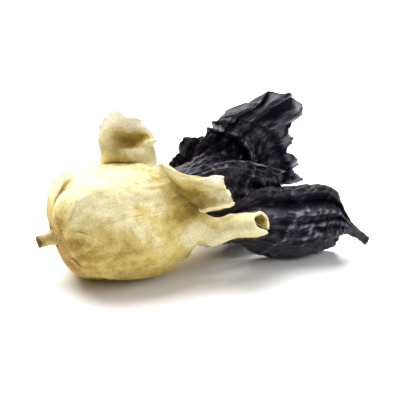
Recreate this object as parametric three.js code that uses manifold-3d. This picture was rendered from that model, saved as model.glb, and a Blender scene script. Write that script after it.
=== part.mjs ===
// A dried hollyhock flower, lying on its side as it was picked: the stub of its stalk, an outer whorl of
// bracts, a felted calyx whose five lobes curled as they dried, and five dark petals that shrivelled into
// pleats around the stamen column.
//
// Millimetres, +Z up. +X runs from the cut stalk towards the petals, and the surface that the flower lies on
// is z = 0. The origin is the flat spot under the calyx that the flower rests on.

import * as THREE from "three";
import { mergeVertices } from "three/addons/utils/BufferGeometryUtils.js";
import Module from "manifold-3d";

const wasm = await Module();
wasm.setup();

const { degToRad, lerp, smoothstep } = THREE.MathUtils;

// Driving dimensions, in millimetres and degrees.
const bladeThickness = 0.6;
const seatGap = 0.25;
const bodyCentre = new THREE.Vector3(0.7, 0, 6.75);
const axisPitch = degToRad(12);
const mouthAt = 6.2;
const petalSeatAt = -4.0;
const stubEndAt = -8.1;

// Colours of the dried parts, from the photograph.
const feltColour = 0xe6dba2;
const bractColour = 0xddd196;
const stalkColour = 0xc9b26a;
const petalColour = 0x241b33;
const stamenColour = 0xcdb487;

// The flower's own axis, and the two directions across it: a turn of 0 is the top, a quarter turn is +Y.
const axis = new THREE.Vector3(Math.cos(axisPitch), 0, Math.sin(axisPitch));
const upAcross = new THREE.Vector3(-Math.sin(axisPitch), 0, Math.cos(axisPitch));
const sideAcross = new THREE.Vector3(0, 1, 0);

function radial(turn) {
  return upAcross.clone().multiplyScalar(Math.cos(turn)).addScaledVector(sideAcross, Math.sin(turn));
}

function tangential(turn) {
  return radial(turn + Math.PI / 2);
}

function aboutAxis(along, radius, turn) {
  return bodyCentre.clone().addScaledVector(axis, along).addScaledVector(radial(turn), radius);
}

// Reads a smooth curve through equally spaced rows of numbers, at t from 0 to 1.
function through(rows, t) {
  const last = rows.length - 1;
  const k = Math.min(Math.floor(Math.max(t, 0) * last), last - 1);
  const f = t * last - k;
  const row = (i) => rows[Math.max(0, Math.min(last, i))];
  return rows[0].map((_, j) => {
    const [a, b, c, d] = [row(k - 1)[j], row(k)[j], row(k + 1)[j], row(k + 2)[j]];
    return b + 0.5 * f * (c - a + f * (2 * a - 5 * b + 4 * c - d + f * (3 * (b - c) + d - a)));
  });
}

// A sheet's cross-sections: where each one is centred, which way it runs across, its half width, how far it
// fans out in its own plane and curls out of it, as its heading at the edge, and how deep its pleats are.
function section({ at, across, halfWidth, fan = 0, curl = 0, pleat = 0 }) {
  return [...at, ...across, halfWidth, fan, curl, pleat];
}

// The cross-section that a sheet has where it lies round the flower's axis.
function ringSection(along, radius, turn, halfWidth) {
  return section({
    at: aboutAxis(along, radius, turn).toArray(),
    across: tangential(turn).toArray(),
    halfWidth,
    curl: -halfWidth / radius,
  });
}

// The point of a sheet at u from root to tip and v from -1 to 1 across. fold is the height of its pleats,
// from -1 to 1, and lift is added along the sheet's outer face.
function sheetPoint(sections, u, v, fold = 0, lift = 0) {
  const step = 0.01;
  const [x, y, z, ax, ay, az, halfWidth, fan, curl, pleat] = through(sections, u);
  const before = through(sections, Math.max(u - step, 0));
  const after = through(sections, Math.min(u + step, 1));
  const tangent = new THREE.Vector3(after[0] - before[0], after[1] - before[1], after[2] - before[2]);
  const across = new THREE.Vector3(ax, ay, az).normalize();
  const outward = tangent.cross(across).normalize();
  const ahead = across.clone().cross(outward);
  const heading = Math.max(Math.hypot(fan, curl), 1e-4);
  const sideways = (halfWidth * Math.sin(heading * v)) / heading;
  const bent = (halfWidth * (1 - Math.cos(heading * v))) / heading;
  const bend = ahead.multiplyScalar(-fan / heading).addScaledVector(outward, curl / heading);
  const bowed = curl * v;
  const face = outward.clone().multiplyScalar(Math.cos(bowed)).addScaledVector(across, -Math.sin(bowed));
  return new THREE.Vector3(x, y, z)
    .addScaledVector(across, sideways)
    .addScaledVector(bend, bent)
    .addScaledVector(face, pleat * fold + lift);
}

// An open sheet of rows x columns quads, from a function of the row and column as shares from 0 to 1.
function sheetGeometry(rows, columns, pointAt) {
  const positions = [];
  const index = [];
  for (let i = 0; i <= rows; i++)
    for (let j = 0; j <= columns; j++) positions.push(...pointAt(i / rows, j / columns).toArray());
  for (let i = 0; i < rows; i++)
    for (let j = 0; j < columns; j++) {
      const corner = i * (columns + 1) + j;
      const above = corner + columns + 1;
      index.push(corner, above, corner + 1, corner + 1, above, above + 1);
    }
  return new THREE.BufferGeometry()
    .setAttribute("position", new THREE.Float32BufferAttribute(positions, 3))
    .setIndex(index);
}

// Joins open sheets that share edges into one.
function joinSheets(sheets) {
  const positions = [];
  const index = [];
  for (const sheet of sheets) {
    const first = positions.length / 3;
    positions.push(...sheet.getAttribute("position").array);
    index.push(...Array.from(sheet.index.array, (k) => k + first));
  }
  const joined = new THREE.BufferGeometry()
    .setAttribute("position", new THREE.Float32BufferAttribute(positions, 3))
    .setIndex(index);
  return mergeVertices(joined, 1e-3);
}

// Gives an open sheet its thickness: both faces are split into triangles alike, and a rim closes each border.
function thicken(sheet, thickness) {
  sheet.computeVertexNormals();
  const position = sheet.getAttribute("position");
  const normal = sheet.getAttribute("normal");
  const count = position.count;
  const outer = [];
  const inner = [];
  for (let i = 0; i < count; i++) {
    const p = new THREE.Vector3().fromBufferAttribute(position, i);
    const half = new THREE.Vector3().fromBufferAttribute(normal, i).multiplyScalar(thickness / 2);
    outer.push(...p.clone().add(half).toArray());
    inner.push(...p.clone().sub(half).toArray());
  }
  const faces = sheet.index.array;
  const index = [];
  const edges = new Set();
  for (let k = 0; k < faces.length; k += 3) {
    const [a, b, c] = [faces[k], faces[k + 1], faces[k + 2]];
    index.push(a, b, c, count + a, count + c, count + b);
    for (const [from, to] of [[a, b], [b, c], [c, a]]) edges.add(`${from},${to}`);
  }
  for (const edge of edges) {
    const [from, to] = edge.split(",").map(Number);
    if (!edges.has(`${to},${from}`)) index.push(to, from, count + from, to, count + from, count + to);
  }
  return new THREE.BufferGeometry()
    .setAttribute("position", new THREE.Float32BufferAttribute([...outer, ...inner], 3))
    .setIndex(index);
}

function solidFrom(geometry) {
  const bare = new THREE.BufferGeometry()
    .setAttribute("position", geometry.getAttribute("position"))
    .setIndex(geometry.index);
  const merged = mergeVertices(bare, 1e-4);
  return new wasm.Manifold(
    new wasm.Mesh({
      numProp: 3,
      vertProperties: merged.getAttribute("position").array,
      triVerts: new Uint32Array(merged.index.array),
    }),
  );
}

function geometryFrom(solid) {
  const { vertProperties, triVerts } = solid.getMesh();
  return new THREE.BufferGeometry()
    .setAttribute("position", new THREE.BufferAttribute(vertProperties, 3))
    .setIndex(new THREE.BufferAttribute(triVerts, 1));
}

// Cuts off what reaches below the surface, so that a piece which touches it gets a small flat spot.
function cutAtSurface(geometry) {
  const depth = 10;
  const ground = new THREE.BoxGeometry(200, 200, depth).translate(0, 0, -depth / 2);
  return geometryFrom(solidFrom(geometry).subtract(solidFrom(ground)));
}

// Turns a shape made round the Z axis so that it stands on the flower's own axis.
function ontoAxis(geometry) {
  const place = new THREE.Matrix4().makeBasis(sideAcross, upAcross, axis).setPosition(bodyCentre);
  return geometry.applyMatrix4(place);
}

const group = new THREE.Group();

function addPiece(name, geometry, color, roughness = 0.9) {
  const material = new THREE.MeshStandardMaterial({ color, roughness, metalness: 0 });
  const mesh = new THREE.Mesh(geometry, material);
  mesh.name = name;
  group.add(mesh);
}

// The calyx cup, from its base ring to its mouth: place along the axis, and radius of the wall's middle.
const cupProfile = [
  [-5.6, 1.3],
  [-5.3, 3.2],
  [-4.2, 4.7],
  [-1.4, 5.65],
  [1.5, 5.6],
  [4.0, 4.95],
  [mouthAt, 4.1],
];
const sepalHalfTurn = degToRad(36);

// The ribs along the sepals' midlines, and how unevenly the wall dried, as shares of its radius: how many
// waves go round it, how far they turn towards the mouth, and their phase, in radians.
const ribs = { waves: 5, twist: 0, phase: Math.PI / 2 - 5 * degToRad(42), depth: 0.03 };
const wobbles = [
  { waves: 3, twist: 4, phase: 1, depth: 0.018 },
  { waves: 7, twist: -5, phase: 0, depth: 0.012 },
];

// Where the wall sank in as it dried, or bulged where the depth is negative: place from the base (0) to the
// mouth (1), turn in degrees, depth and reach in millimetres.
const dents = [
  { g: 0.92, turn: -155, depth: -2.9, reach: 5 },
  { g: 1.0, turn: -62, depth: 0.75, reach: 3.2 },
  { g: 0.62, turn: -50, depth: 0.3, reach: 2.0 },
  { g: 0.45, turn: -110, depth: 0.35, reach: 2.4 },
  { g: 0.7, turn: 10, depth: 0.3, reach: 1.8 },
  { g: 0.55, turn: 80, depth: 0.4, reach: 2.6 },
  { g: 0.6, turn: 150, depth: 0.3, reach: 2.2 },
];

function dentAt(g, turn) {
  return dents.reduce((sum, dent) => {
    const alongWall = (g - dent.g) * 12;
    const roundWall = 5 * Math.asin(Math.sin((turn - degToRad(dent.turn)) / 2)) * 2;
    return sum + dent.depth * Math.exp(-(alongWall ** 2 + roundWall ** 2) / dent.reach ** 2);
  }, 0);
}

// Where the flower lies, the surface pressed the wall flat at this height of its middle.
const pressedAt = 1.0;
const pressSoftness = 0.25;

function pressedFlat(z, lowest) {
  return lowest + pressSoftness * Math.log1p(Math.exp((z - lowest) / pressSoftness));
}

// A point of the calyx wall. g runs from 0 at the base to 1 at the mouth, and on to 2 where a lobe's tip
// would be if it went straight on.
function cupPoint(g, turn, offset = 0) {
  const lobeLength = 9;
  const lobeTaper = 1.2;
  const wavesFrom = 0.4;
  const share = Math.min(g, 1);
  const beyond = Math.max(g - 1, 0);
  const [along, radius] = through(cupProfile, share);
  const wavy = [ribs, ...wobbles].reduce(
    (sum, { waves, twist, phase, depth }) => sum + depth * Math.sin(waves * turn + twist * share + phase),
    0,
  );
  const shape = 1 + smoothstep(share, 0, wavesFrom) * wavy;
  const [alongBefore, radiusBefore] = through(cupProfile, Math.max(share - 0.02, 0));
  const [alongAfter, radiusAfter] = through(cupProfile, Math.min(share + 0.02, 1));
  const slope = new THREE.Vector2(alongAfter - alongBefore, radiusAfter - radiusBefore).normalize();
  const point = aboutAxis(
    along + lobeLength * beyond - slope.y * offset,
    radius * shape - dentAt(share, turn) - lobeTaper * beyond + slope.x * offset,
    turn,
  );
  return point.setZ(pressedFlat(point.z, pressedAt - offset));
}

// The sepals in the order that they stand round the mouth. partsAt is where the next one parts from it, drift
// how far their border has turned aside there, in degrees, and lobe holds the cross-sections of its free part,
// a third of a lobe apart, the last at its tip.
const sepals = [
  {
    turn: -174,
    partsAt: 1.15,
    drift: 0,
    lobe: [
      { at: [9.8, -0.2, 2.7], across: [0, -1, 0.1], halfWidth: 2.7, curl: -0.6 },
      { at: [11.8, 0.2, 2.2], across: [0, -1, 0], halfWidth: 2.0, curl: -0.4 },
      { at: [13.4, 0.4, 2.0], across: [0, -1, -0.1], halfWidth: 0.5, curl: -0.2 },
    ],
  },
  {
    turn: -102,
    partsAt: 1.3,
    drift: -20,
    lobe: [
      { at: [9.8, -5.4, 4.6], across: [0, -0.2, 1], halfWidth: 2.0, curl: -1.0 },
      { at: [13.2, -5.9, 5.9], across: [0.1, 0.1, 1], halfWidth: 2.7, curl: -2.0 },
      { at: [15.6, -6.8, 7.6], across: [0.4, 0.76, 0.1], halfWidth: 3.3, curl: -2.6 },
    ],
  },
  {
    turn: -30,
    partsAt: 0.95,
    drift: 0,
    lobe: [
      { at: [8.4, -3.3, 10.3], across: [-0.1, 0.5, 0.85], halfWidth: 3.8, curl: 1.4 },
      { at: [11.0, -4.2, 10.6], across: [-0.1, 0.3, 0.95], halfWidth: 3.2, curl: 1.5 },
      { at: [13.5, -4.4, 10.6], across: [-0.3, 0.2, 0.93], halfWidth: 2.0, curl: 1.0 },
    ],
  },
  {
    turn: 42,
    partsAt: 0.48,
    drift: 0,
    lobe: [
      { at: [3.95, 3.15, 12.3], across: [-0.85, 0.52, 0], halfWidth: 2.9, curl: 0.1 },
      { at: [4.1, 4.1, 13.8], across: [-0.9, 0.4, 0.05], halfWidth: 3.4, curl: 1.1 },
      { at: [4.6, 4.1, 16.0], across: [-0.9, 0.4, 0.25], halfWidth: 3.7, curl: 1.4 },
      { at: [4.6, 3.4, 18.0], across: [-0.8, 0.34, 0.5], halfWidth: 3.3, curl: 1.2 },
    ],
  },
  {
    turn: 114,
    partsAt: 0.9,
    drift: 0,
    lobe: [
      { at: [9.9, 5.6, 6.2], across: [0, -0.3, -0.95], halfWidth: 2.7, curl: 0.2 },
      { at: [12.6, 6.9, 5.7], across: [0, -0.1, -1], halfWidth: 2.1, curl: 0.7 },
      { at: [15.0, 7.8, 4.9], across: [0, 0, -1], halfWidth: 0.5, curl: 0.4 },
    ],
  },
];

function sepalSheet(sepal, before) {
  const rows = 17;
  const columns = 6;
  const firstSection = 1 / 3;
  const partingLength = 0.2;
  const blendLength = 0.35;
  const notch = 0.07;
  const driftFrom = 0.6;
  const driftTo = 1.2;
  const middle = degToRad(sepal.turn);
  const onCup = [1 / 3, 2 / 3, 1].map((g) => {
    const at = cupPoint(g, middle);
    const [, radius] = through(cupProfile, g);
    return section({
      at: at.toArray(),
      across: tangential(middle).toArray(),
      halfWidth: radius * sepalHalfTurn,
      curl: -sepalHalfTurn,
    });
  });
  const sections = [...onCup.slice(0, 6 - sepal.lobe.length), ...sepal.lobe.map(section)];
  return sheetGeometry(rows, columns, (row, column) => {
    const g = 2 * row;
    const v = 2 * column - 1;
    const partsHere = lerp(before.partsAt, sepal.partsAt, column);
    const drift = degToRad(lerp(before.drift, sepal.drift, column)) * smoothstep(g, driftFrom, driftTo);
    const parted = smoothstep(g, partsHere, partsHere + partingLength);
    const free = smoothstep(g, partsHere, partsHere + blendLength);
    const point = cupPoint(g, middle + drift + sepalHalfTurn * v * (1 - notch * parted));
    if (free === 0) return point;
    const lobe = sheetPoint(sections, (g - firstSection) / (2 - firstSection), v);
    return point.lerp(lobe, free);
  });
}

function calyxGeometry() {
  const sheets = sepals.map((sepal, i) => sepalSheet(sepal, sepals.at(i - 1)));
  return cutAtSurface(thicken(joinSheets(sheets), bladeThickness));
}

// The bracts of the outer whorl: the turn of each middle in degrees, its length as a share of the usual, and
// how far its tip stands off.
const bracts = [
  { turn: -28, length: 0.95, lift: 0.5 },
  { turn: 16, length: 0.95, lift: 1.6 },
  { turn: 76, length: 0.95, lift: 0.4 },
  { turn: 129, length: 0.9, lift: 0.2 },
  { turn: 181, length: 1.5, lift: 0 },
  { turn: 230, length: 0.82, lift: 0.1 },
  { turn: 282, length: 1.02, lift: 0.3 },
];

function epicalyxGeometry() {
  const rows = 8;
  const columns = 4;
  const reachOnCup = 0.44;
  const joinedShare = 0.42;
  const tipWidth = 0.03;
  const splitWidth = 0.05;
  const halfTurn = Math.PI / bracts.length;
  const clearOfCup = bladeThickness + seatGap;
  const sheets = bracts.map(({ turn, length, lift }, i) => {
    const middle = degToRad(turn);
    return sheetGeometry(rows, columns, (row, column) => {
      const v = 2 * column - 1;
      const next = bracts.at((i + (v > 0 ? 1 : -1)) % bracts.length);
      const gapTurn = Math.abs(((next.turn - turn + 540) % 360) - 180);
      const free = Math.max(row - joinedShare, 0) / (1 - joinedShare);
      const width = 1 - splitWidth * Math.sign(free) - (1 - splitWidth - tipWidth) * free ** 1.6;
      const edge = row > joinedShare ? halfTurn : degToRad(gapTurn / 2);
      const reach = reachOnCup * lerp(row, row * length, free);
      return cupPoint(reach, middle + edge * v * width, clearOfCup + lift * free ** 2);
    });
  });
  return cutAtSurface(thicken(joinSheets(sheets), bladeThickness));
}

// The stub of the stalk, hollow at its cut end, and the receptacle that it widens into inside the calyx.
function pedicelGeometry() {
  const profile = [
    [0, -7.3],
    [0.36, -7.4],
    [0.42, stubEndAt],
    [0.8, stubEndAt],
    [0.88, -7.2],
    [1.0, -6.2],
    [1.0, -5.3],
    [2.2, -5.0],
    [2.3, -4.6],
    [0, -4.45],
  ];
  return ontoAxis(latheAbout(profile, 20));
}

// A LatheGeometry turned so that the profile's second number runs along +Z.
function latheAbout(profile, segments) {
  const points = profile.map(([radius, along]) => new THREE.Vector2(radius, along));
  const lathe = new THREE.LatheGeometry(points, segments).rotateX(Math.PI / 2);
  lathe.deleteAttribute("normal");
  lathe.deleteAttribute("uv");
  return mergeVertices(lathe, 1e-4);
}

// The ring of carpels, flat as a small cheese, with a groove between each two.
function ovaryGeometry() {
  const carpels = 16;
  const grooveDepth = 0.1;
  const profile = [
    [0, -4.2],
    [1.6, -4.2],
    [1.85, -3.8],
    [1.6, -3.35],
    [0.9, -3.3],
    [0, -3.45],
  ];
  const geometry = latheAbout(profile, 2 * carpels);
  const position = geometry.getAttribute("position");
  for (let i = 0; i < position.count; i++) {
    const x = position.getX(i);
    const y = position.getY(i);
    const groove = 1 + grooveDepth * 0.5 * Math.cos(carpels * Math.atan2(y, x));
    position.setXY(i, x * groove, y * groove);
  }
  return ontoAxis(geometry);
}

// The tube of joined filaments, which covers the ovary as a bell, with its anthers round the upper part.
function stamenColumnGeometry() {
  const bellAndTube = [
    [0, -2.8],
    [1.2, -2.95],
    [2.05, -3.5],
    [2.25, -4.2],
    [2.8, -4.2],
    [2.65, -3.2],
    [1.7, -2.2],
    [0.85, -1.2],
    [0.7, 3.0],
    [0.6, 7.6],
    [0, 8.2],
  ];
  const anthers = 15;
  const antherRadius = 0.42;
  const goldenTurn = degToRad(137.5);
  let column = solidFrom(latheAbout(bellAndTube, 12));
  for (let i = 0; i < anthers; i++) {
    const turn = i * goldenTurn;
    const along = lerp(2.6, 7.7, i / (anthers - 1));
    const reach = lerp(1.0, 0.7, i / (anthers - 1));
    const anther = new THREE.IcosahedronGeometry(antherRadius, 0).rotateZ(turn);
    anther.deleteAttribute("normal");
    anther.deleteAttribute("uv");
    anther.translate(reach * Math.cos(turn), reach * Math.sin(turn), along);
    column = column.add(solidFrom(mergeVertices(anther, 1e-4)));
  }
  return ontoAxis(geometryFrom(column));
}

// The petals in the order that they stand round the column. waves is how many pleats cross one, and phase
// shifts them. margin is how far the petal reaches along its length, at equal steps across it, ruffle how far
// its margin is waved, and free holds the cross-sections outside the calyx.
const petals = [
  {
    name: "petal_1",
    turn: 15,
    waves: 4.5,
    phase: 0.4,
    margin: [0.98, 0.92, 0.89, 0.875, 0.87, 0.92, 0.97, 1.0, 0.96, 0.95, 0.93],
    ruffle: 0.4,
    free: [
      { at: [11.4, 1.1, 11.1], across: [-0.2, 0.95, 0], halfWidth: 1.7, fan: 0.1, curl: -0.4, pleat: 0.1 },
      { at: [15.9, 1.7, 11.7], across: [-0.6, 0.4, 0.7], halfWidth: 3.8, fan: 0.7, curl: 0, pleat: 0.3 },
      { at: [19.9, 1.8, 13.6], across: [-0.6, 0.15, 0.8], halfWidth: 6.6, fan: 1.2, curl: 0.2, pleat: 0.4 },
      { at: [26.0, 2.0, 15.4], across: [-0.5, 0.1, 0.85], halfWidth: 9.4, fan: 1.5, curl: 0.2, pleat: 0.4 },
    ],
  },
  {
    name: "petal_2",
    turn: 87,
    waves: 4,
    phase: 1.7,
    margin: [0.62, 0.66, 0.74, 0.86, 0.97, 1.0, 0.95, 0.98, 0.93, 0.9, 0.82],
    ruffle: 0.4,
    free: [
      { at: [10.0, 3.9, 9.1], across: [0, 0.1, -1], halfWidth: 2.1, fan: 0.4, curl: -0.3, pleat: 0.1 },
      { at: [13.6, 4.5, 10.0], across: [0, 0.1, -1], halfWidth: 4.6, fan: 1.0, curl: 0.2, pleat: 0.4 },
      { at: [17.0, 5.0, 10.6], across: [0, 0.1, -1], halfWidth: 6.0, fan: 1.4, curl: -0.1, pleat: 0.6 },
      { at: [20.6, 5.1, 11.2], across: [0, 0, -1], halfWidth: 7.0, fan: 1.4, curl: -0.3, pleat: 0.7 },
    ],
  },
  {
    name: "petal_3",
    turn: 159,
    waves: 3.5,
    phase: 2.9,
    margin: [0.85, 0.93, 0.9, 0.97, 1.0, 0.95, 0.97, 0.9, 0.93, 0.87, 0.8],
    ruffle: 0.4,
    free: [
      { at: [11.4, 1.9, 5.0], across: [0, -0.9, -0.4], halfWidth: 1.9, fan: 0.1, curl: -0.3, pleat: 0.1 },
      { at: [15.6, 2.6, 3.6], across: [0, -0.95, -0.2], halfWidth: 3.0, fan: 0.4, curl: -0.3, pleat: 0.3 },
      { at: [20.0, 3.2, 1.5], across: [0, -0.95, -0.2], halfWidth: 4.0, fan: 0.7, curl: -0.4, pleat: 0.5 },
      { at: [24.2, 3.4, 0.35], across: [0, -0.95, -0.2], halfWidth: 4.4, fan: 0.9, curl: -0.5, pleat: 0.6 },
    ],
  },
  {
    name: "petal_4",
    turn: 231,
    waves: 3,
    phase: 0.9,
    margin: [1, 1, 1, 1, 1],
    ruffle: 0,
    free: [
      { at: [12.6, -2.6, 5.4], across: [0, -0.4, 0.9], halfWidth: 1.9, fan: 0, curl: -0.3, pleat: 0.1 },
      { at: [17.6, -4.0, 4.4], across: [0, -0.1, 1], halfWidth: 4.2, fan: 0.2, curl: -0.6, pleat: 0.4 },
      { at: [22.0, -4.8, 4.0], across: [0, 0, 1], halfWidth: 4.9, fan: 0.3, curl: -0.8, pleat: 0.6 },
      { at: [26.0, -5.1, 4.6], across: [-0.1, 0, 1], halfWidth: 4.5, fan: 0, curl: -1.0, pleat: 0.5 },
      { at: [27.6, -5.2, 3.4], across: [0.2, 0, 0.95], halfWidth: 0.8, fan: 0, curl: -0.8, pleat: 0 },
      { at: [30.2, -5.0, 1.5], across: [0.4, 0, 0.9], halfWidth: 0.4, fan: 0, curl: -0.4, pleat: 0 },
    ],
  },
  {
    name: "petal_5",
    turn: 303,
    waves: 3,
    phase: 2.2,
    margin: [0.9, 0.95, 0.97, 0.97, 0.95, 0.92, 0.9, 0.9, 0.9, 0.93, 0.88],
    ruffle: 0.4,
    free: [
      { at: [10.9, -2.5, 10.2], across: [0, 0.4, 0.9], halfWidth: 1.9, fan: 0.1, curl: -0.3, pleat: 0.1 },
      { at: [14.8, -2.1, 10.0], across: [0.1, 0.2, 0.95], halfWidth: 2.6, fan: 0.2, curl: -0.2, pleat: 0.3 },
      { at: [18.6, -1.8, 8.4], across: [0.3, 0, 0.95], halfWidth: 3.2, fan: 0.4, curl: 0.1, pleat: 0.5 },
      { at: [22.2, -1.8, 6.6], across: [0.45, -0.1, 0.85], halfWidth: 3.2, fan: 0.6, curl: 0.2, pleat: 0.5 },
    ],
  },
];

function petalGeometry({ turn, waves, phase, margin, ruffle, free }) {
  const rows = 18;
  const columns = 18;
  const claw = { along: petalSeatAt, radius: 3.25, halfWidth: 0.9 };
  const throat = { along: 1.0, radius: 3.5, halfWidth: 1.4 };
  const mouth = { along: mouthAt, radius: 2.5, halfWidth: 1.4 };
  const shortenedFrom = 0.3;
  const ruffledFrom = 0.78;
  const ruffles = 9;
  const droop = 0.6;
  const pleatTwist = 1.3;
  const middle = degToRad(turn);
  const inCalyx = [claw, throat, mouth].map(({ along, radius, halfWidth }) =>
    ringSection(along, radius, middle, halfWidth),
  );
  const sections = [...inCalyx, ...free.map(section)];
  const sheet = sheetGeometry(rows, columns, (row, column) => {
    const v = 2 * column - 1;
    const [reach] = through(margin.map((share) => [share]), column);
    const u = row * (1 - (1 - reach) * smoothstep(row, shortenedFrom, 1));
    const fold = Math.sin(Math.PI * waves * v + phase + pleatTwist * u);
    const near = smoothstep(row, ruffledFrom, 1);
    const lift = ruffle * (near * Math.sin(ruffles * v + 2 * phase) - droop * near ** 2);
    return sheetPoint(sections, u, v, fold, lift);
  });
  return cutAtSurface(thicken(sheet, bladeThickness));
}

addPiece("pedicel", pedicelGeometry(), stalkColour);
addPiece("epicalyx", epicalyxGeometry(), bractColour);
addPiece("calyx", calyxGeometry(), feltColour);
addPiece("ovary", ovaryGeometry(), stalkColour);
addPiece("stamen_column", stamenColumnGeometry(), stamenColour);
for (const petal of petals) addPiece(petal.name, petalGeometry(petal), petalColour, 0.55);

export default group;
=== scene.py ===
"""The looks of the dried hollyhock flower: felted calyx, outer whorl of bracts, stub of the stalk, stamen
column and five shrivelled petals, each in the place of its solid. Lengths in the tables are in mm."""

import math

import bpy
import numpy as np
from mathutils import Matrix, Vector, noise


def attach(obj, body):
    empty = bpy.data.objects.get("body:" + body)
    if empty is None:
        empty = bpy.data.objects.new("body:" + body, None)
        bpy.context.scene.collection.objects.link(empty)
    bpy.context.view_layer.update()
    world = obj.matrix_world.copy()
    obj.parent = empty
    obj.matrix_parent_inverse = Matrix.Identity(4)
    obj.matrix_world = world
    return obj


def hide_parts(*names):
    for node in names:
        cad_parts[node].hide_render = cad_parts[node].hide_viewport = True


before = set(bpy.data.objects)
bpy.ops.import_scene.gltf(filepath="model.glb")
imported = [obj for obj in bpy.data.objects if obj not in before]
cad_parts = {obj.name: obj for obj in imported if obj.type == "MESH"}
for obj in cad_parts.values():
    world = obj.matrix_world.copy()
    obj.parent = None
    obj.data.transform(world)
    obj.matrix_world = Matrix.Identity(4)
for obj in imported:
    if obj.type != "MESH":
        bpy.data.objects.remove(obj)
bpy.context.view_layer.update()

MM = 0.001
SEED = 41

# The flower's own axis, as its solids have it: a turn of 0 is the top, a quarter turn is +Y.
BODY_CENTRE = np.array([0.7, 0.0, 6.75])
AXIS_PITCH = math.radians(12)
AXIS = np.array([math.cos(AXIS_PITCH), 0.0, math.sin(AXIS_PITCH)])
UP_ACROSS = np.array([-math.sin(AXIS_PITCH), 0.0, math.cos(AXIS_PITCH)])
SIDE_ACROSS = np.array([0.0, 1.0, 0.0])
MOUTH_AT = 6.2
PETAL_SEAT_AT = -4.0
STUB_END_AT = -8.1

# How far a straight sepal would reach past the mouth, and the length that a petal's creases are laid out on.
LOBE_LENGTH = 9
PETAL_LENGTH = 36.0

# Thickness of the dried tissue.
CALYX_THICKNESS = 0.36
BRACT_THICKNESS = 0.2
PETAL_THICKNESS = 0.13


# Numbers and curves

def smoothstep(x, low, high):
    t = np.clip((x - low) / (high - low), 0, 1)
    return t * t * (3 - 2 * t)


def unit(vectors):
    return vectors / np.maximum(np.linalg.norm(vectors, axis=-1, keepdims=True), 1e-9)


def through(rows, t):
    """A smooth curve through equally spaced rows of numbers, at shares t from 0 to 1."""
    rows = np.asarray(rows, float)
    last = len(rows) - 1
    k = np.clip(np.floor(t * last), 0, last - 1).astype(int)
    f = (t * last - k)[..., None]
    a, b, c, d = (rows[np.clip(k + i, 0, last)] for i in (-1, 0, 1, 2))
    return b + 0.5 * f * (c - a + f * (2 * a - 5 * b + 4 * c - d + f * (3 * (b - c) + d - a)))


def radial(turn):
    return np.cos(turn)[..., None] * UP_ACROSS + np.sin(turn)[..., None] * SIDE_ACROSS


def about_axis(along, radius, turn):
    return BODY_CENTRE + along[..., None] * AXIS + radius[..., None] * radial(turn)


def noise_values(kind, places, seed, *settings):
    """Values of a noise at rows of three coordinates. Each seed looks at another part of it."""
    fading = 1.0
    finer = 2.1
    shift = Vector((3.1 * seed, 7.7 * seed, 5.3 * seed))
    return np.array([kind(Vector(place) + shift, fading, finer, *settings) for place in places])


def fractal(places, seed, octaves=3):
    """Soft noise, about -1 to 1."""
    return noise_values(noise.fractal, places, seed, octaves)


def ridged(places, seed):
    """Noise with sharp crests, centred on 0 and mostly within -1 to 1."""
    octaves = 3
    offset = 1.0
    gain = 1.6
    raw = noise_values(noise.ridged_multi_fractal, places, seed, octaves, offset, gain)
    return (raw - raw.mean()) / (2 * raw.std())


def zigzag(t):
    """A wave from -1 to 1 with straight sides, one for each 1 of t."""
    return 4 * np.abs(t - np.floor(t) - 0.5) - 1


def crumple(across, along, seed, waves, spacing, spread):
    """Straight sharp creases, most of them along the sheet: zigzags of random slant and spacing, summed."""
    draws = np.random.default_rng(seed)
    height = np.zeros_like(across)
    for _ in range(waves):
        slant = draws.normal(0, spread)
        pitch = spacing * draws.uniform(0.5, 1.6)
        crossed = (across * math.cos(slant) + along * math.sin(slant)) / pitch
        height += zigzag(crossed + draws.uniform()) * pitch
    return height / (spacing * math.sqrt(waves))


def crests(height, shape, reach):
    """How far each point of a grid of heights stands above its surroundings, from -1 to 1."""
    grid = height.reshape(shape)
    around = grid.copy()
    for axis in (0, 1):
        around = sum(np.roll(around, k, axis) for k in range(-reach, reach + 1)) / (2 * reach + 1)
    out = grid - around
    full_height = 2.5 * out.std() + 1e-9
    return np.clip(out / full_height, -1, 1).ravel()


# Sheets

def section(at, across, half_width, fan=0.0, curl=0.0, pleat=0.0):
    """A sheet's cross-section: its centre, the way across, half its width, how far it fans and curls, in
    radians from the middle to a side, and how deep its pleats are."""
    return [*at, *across, half_width, fan, curl, pleat]


def ring_section(along, radius, turn, half_width):
    """The cross-section that a sheet has where it lies round the flower's axis."""
    at = about_axis(np.float64(along), np.float64(radius), np.float64(turn))
    across = radial(np.float64(turn + math.pi / 2))
    return section(at, across, half_width, curl=-half_width / radius)


def sheet_points(sections, u, v, fold=0.0, lift=0.0):
    """Points of a sheet at u from root to tip and v from -1 to 1 across, lifted along its outer face."""
    step = 0.01
    here = through(sections, u)
    tangent = through(sections, np.minimum(u + step, 1)) - through(sections, np.maximum(u - step, 0))
    across = unit(here[:, 3:6])
    outward = unit(np.cross(tangent[:, :3], across))
    ahead = np.cross(across, outward)
    half_width, fan, curl, pleat = here[:, 6:].T
    heading = np.maximum(np.hypot(fan, curl), 1e-4)
    sideways = half_width * np.sin(heading * v) / heading
    bent = half_width * (1 - np.cos(heading * v)) / heading**2
    bow = bent[:, None] * (outward * curl[:, None] - ahead * fan[:, None])
    face = outward * np.cos(curl * v)[:, None] - across * np.sin(curl * v)[:, None]
    return here[:, :3] + across * sideways[:, None] + bow + face * (pleat * fold + lift)[:, None]


def nothing_selected():
    if bpy.context.object and bpy.context.object.mode != "OBJECT":
        bpy.ops.object.mode_set(mode="OBJECT")
    bpy.ops.object.select_all(action="DESELECT")


def select_only(*pieces):
    """Selects these pieces, with the first as the active one."""
    nothing_selected()
    for piece in pieces:
        piece.select_set(True)
    bpy.context.view_layer.objects.active = pieces[0]


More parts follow.
